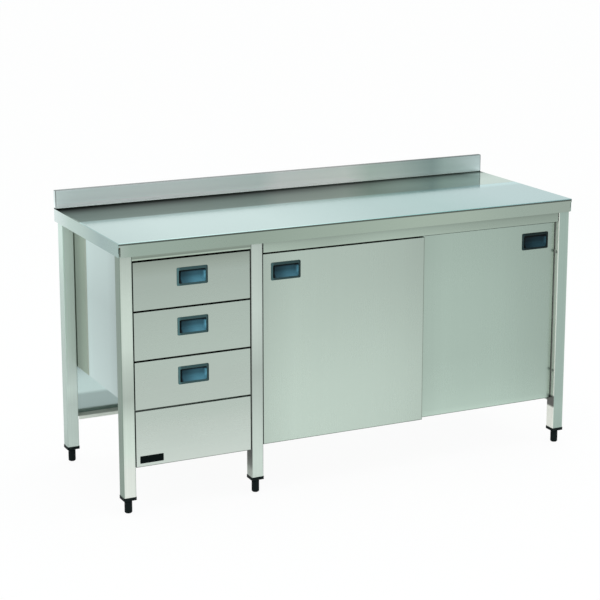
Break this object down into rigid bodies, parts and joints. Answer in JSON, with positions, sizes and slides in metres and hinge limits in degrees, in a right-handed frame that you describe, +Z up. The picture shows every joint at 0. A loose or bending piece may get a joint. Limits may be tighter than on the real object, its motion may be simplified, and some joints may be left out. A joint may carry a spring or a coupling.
{
  "type": "work table with cupboard",
  "caption": "Stainless steel work table with an upstand, a column of drawers and a cupboard behind sliding doors, on adjustable feet.",
  "frame": {"origin": "on the floor under the middle of the worktop", "axes": "+X along the table to the right as seen by the user, +Y to the back, +Z up"},
  "size_m": [1.6, 0.6, 0.91],
  "materials": {
    "steel": "brushed stainless steel",
    "zinc_steel": "zinc-plated",
    "board": "raw particle board",
    "black_plastic": "matte",
    "blue_plastic": "satin",
    "plate": "satin black",
    "track": "satin",
    "roller_plastic": "matte",
    "buffer_rubber": "matte"
  },
  "bodies": {
    "frame": {"worktop": "steel", "front_left_leg": "steel", "front_middle_leg": "steel", "front_right_leg": "steel", "rear_left_leg": "steel", "rear_middle_leg": "steel", "rear_right_leg": "steel", "frame_rails": "steel", "drawer_rail": "steel", "door_rail": "steel", "left_side_panel": "steel", "middle_partition": "steel", "right_side_panel": "steel", "drawer_bay_back": "steel", "cupboard_back": "steel", "blind_panel": "steel", "cupboard_floor": "steel", "middle_shelf": "steel", "core_board": "board", "foot_inserts": "black_plastic", "nameplate": "plate", "door_track": "track", "cabinet_runners": "zinc_steel", "shelf_brackets": "zinc_steel", "door_guide": "zinc_steel", "door_buffers": "buffer_rubber", "fixing_screws": "zinc_steel"},
    "upper_drawer": {"upper_drawer_front": "steel", "upper_drawer_box": "steel", "upper_drawer_handle": "blue_plastic", "upper_drawer_runners": "zinc_steel"},
    "upper_runner_middles": {"upper_middle_runners": "zinc_steel"},
    "middle_drawer": {"middle_drawer_front": "steel", "middle_drawer_box": "steel", "middle_drawer_handle": "blue_plastic", "middle_drawer_runners": "zinc_steel"},
    "middle_runner_middles": {"middle_middle_runners": "zinc_steel"},
    "lower_drawer": {"lower_drawer_front": "steel", "lower_drawer_box": "steel", "lower_drawer_handle": "blue_plastic", "lower_drawer_runners": "zinc_steel"},
    "lower_runner_middles": {"lower_middle_runners": "zinc_steel"},
    "left_door": {"left_door_shell": "steel", "left_door_back": "steel", "left_door_handle": "blue_plastic", "left_door_hangers": "zinc_steel"},
    "left_roller_a": {"left_door_roller_a": "roller_plastic"},
    "left_roller_b": {"left_door_roller_b": "roller_plastic"},
    "right_door": {"right_door_shell": "steel", "right_door_back": "steel", "right_door_handle": "blue_plastic", "right_door_hangers": "zinc_steel"},
    "right_roller_a": {"right_door_roller_a": "roller_plastic"},
    "right_roller_b": {"right_door_roller_b": "roller_plastic"},
    "front_left_foot": {"front_left_foot": "black_plastic"},
    "front_middle_foot": {"front_middle_foot": "black_plastic"},
    "front_right_foot": {"front_right_foot": "black_plastic"},
    "rear_left_foot": {"rear_left_foot": "black_plastic"},
    "rear_middle_foot": {"rear_middle_foot": "black_plastic"},
    "rear_right_foot": {"rear_right_foot": "black_plastic"}
  },
  "joints": [
    {"name": "upper_drawer_slide", "type": "slide", "parent": "frame", "child": "upper_drawer", "axis": [0, -1, 0], "range_m": [0, 0.45]},
    {"name": "upper_runner_slide", "type": "slide", "parent": "frame", "child": "upper_runner_middles", "axis": [0, -1, 0], "range_m": [0, 0.225]},
    {"name": "middle_drawer_slide", "type": "slide", "parent": "frame", "child": "middle_drawer", "axis": [0, -1, 0], "range_m": [0, 0.45]},
    {"name": "middle_runner_slide", "type": "slide", "parent": "frame", "child": "middle_runner_middles", "axis": [0, -1, 0], "range_m": [0, 0.225]},
    {"name": "lower_drawer_slide", "type": "slide", "parent": "frame", "child": "lower_drawer", "axis": [0, -1, 0], "range_m": [0, 0.45]},
    {"name": "lower_runner_slide", "type": "slide", "parent": "frame", "child": "lower_runner_middles", "axis": [0, -1, 0], "range_m": [0, 0.225]},
    {"name": "left_door_slide", "type": "slide", "parent": "frame", "child": "left_door", "axis": [1, 0, 0], "range_m": [0, 0.511]},
    {"name": "left_roller_a_turn", "type": "hinge", "parent": "left_door", "child": "left_roller_a", "pos_m": [-0.2575, -0.2795, 0.8002], "axis": [0, 1, 0], "continuous": true},
    {"name": "left_roller_b_turn", "type": "hinge", "parent": "left_door", "child": "left_roller_b", "pos_m": [0.1735, -0.2795, 0.8002], "axis": [0, 1, 0], "continuous": true},
    {"name": "right_door_slide", "type": "slide", "parent": "frame", "child": "right_door", "axis": [1, 0, 0], "range_m": [-0.511, 0]},
    {"name": "right_roller_a_turn", "type": "hinge", "parent": "right_door", "child": "right_roller_a", "pos_m": [0.2535, -0.2595, 0.8002], "axis": [0, 1, 0], "continuous": true},
    {"name": "right_roller_b_turn", "type": "hinge", "parent": "right_door", "child": "right_roller_b", "pos_m": [0.6845, -0.2595, 0.8002], "axis": [0, 1, 0], "continuous": true},
    {"name": "front_left_foot_adjust", "type": "slide", "parent": "frame", "child": "front_left_foot", "axis": [0, 0, -1], "range_m": [0, 0.015]},
    {"name": "front_middle_foot_adjust", "type": "slide", "parent": "frame", "child": "front_middle_foot", "axis": [0, 0, -1], "range_m": [0, 0.015]},
    {"name": "front_right_foot_adjust", "type": "slide", "parent": "frame", "child": "front_right_foot", "axis": [0, 0, -1], "range_m": [0, 0.015]},
    {"name": "rear_left_foot_adjust", "type": "slide", "parent": "frame", "child": "rear_left_foot", "axis": [0, 0, -1], "range_m": [0, 0.015]},
    {"name": "rear_middle_foot_adjust", "type": "slide", "parent": "frame", "child": "rear_middle_foot", "axis": [0, 0, -1], "range_m": [0, 0.015]},
    {"name": "rear_right_foot_adjust", "type": "slide", "parent": "frame", "child": "rear_right_foot", "axis": [0, 0, -1], "range_m": [0, 0.015]}
  ],
  "couplings": [
    {"joint": "upper_runner_slide", "follows": "upper_drawer_slide", "ratio": 0.5},
    {"joint": "middle_runner_slide", "follows": "middle_drawer_slide", "ratio": 0.5},
    {"joint": "lower_runner_slide", "follows": "lower_drawer_slide", "ratio": 0.5},
    {"joint": "left_roller_a_turn", "follows": "left_door_slide", "rad_per_m": 111.11},
    {"joint": "left_roller_b_turn", "follows": "left_door_slide", "rad_per_m": 111.11},
    {"joint": "right_roller_a_turn", "follows": "right_door_slide", "rad_per_m": 111.11},
    {"joint": "right_roller_b_turn", "follows": "right_door_slide", "rad_per_m": 111.11}
  ]
}
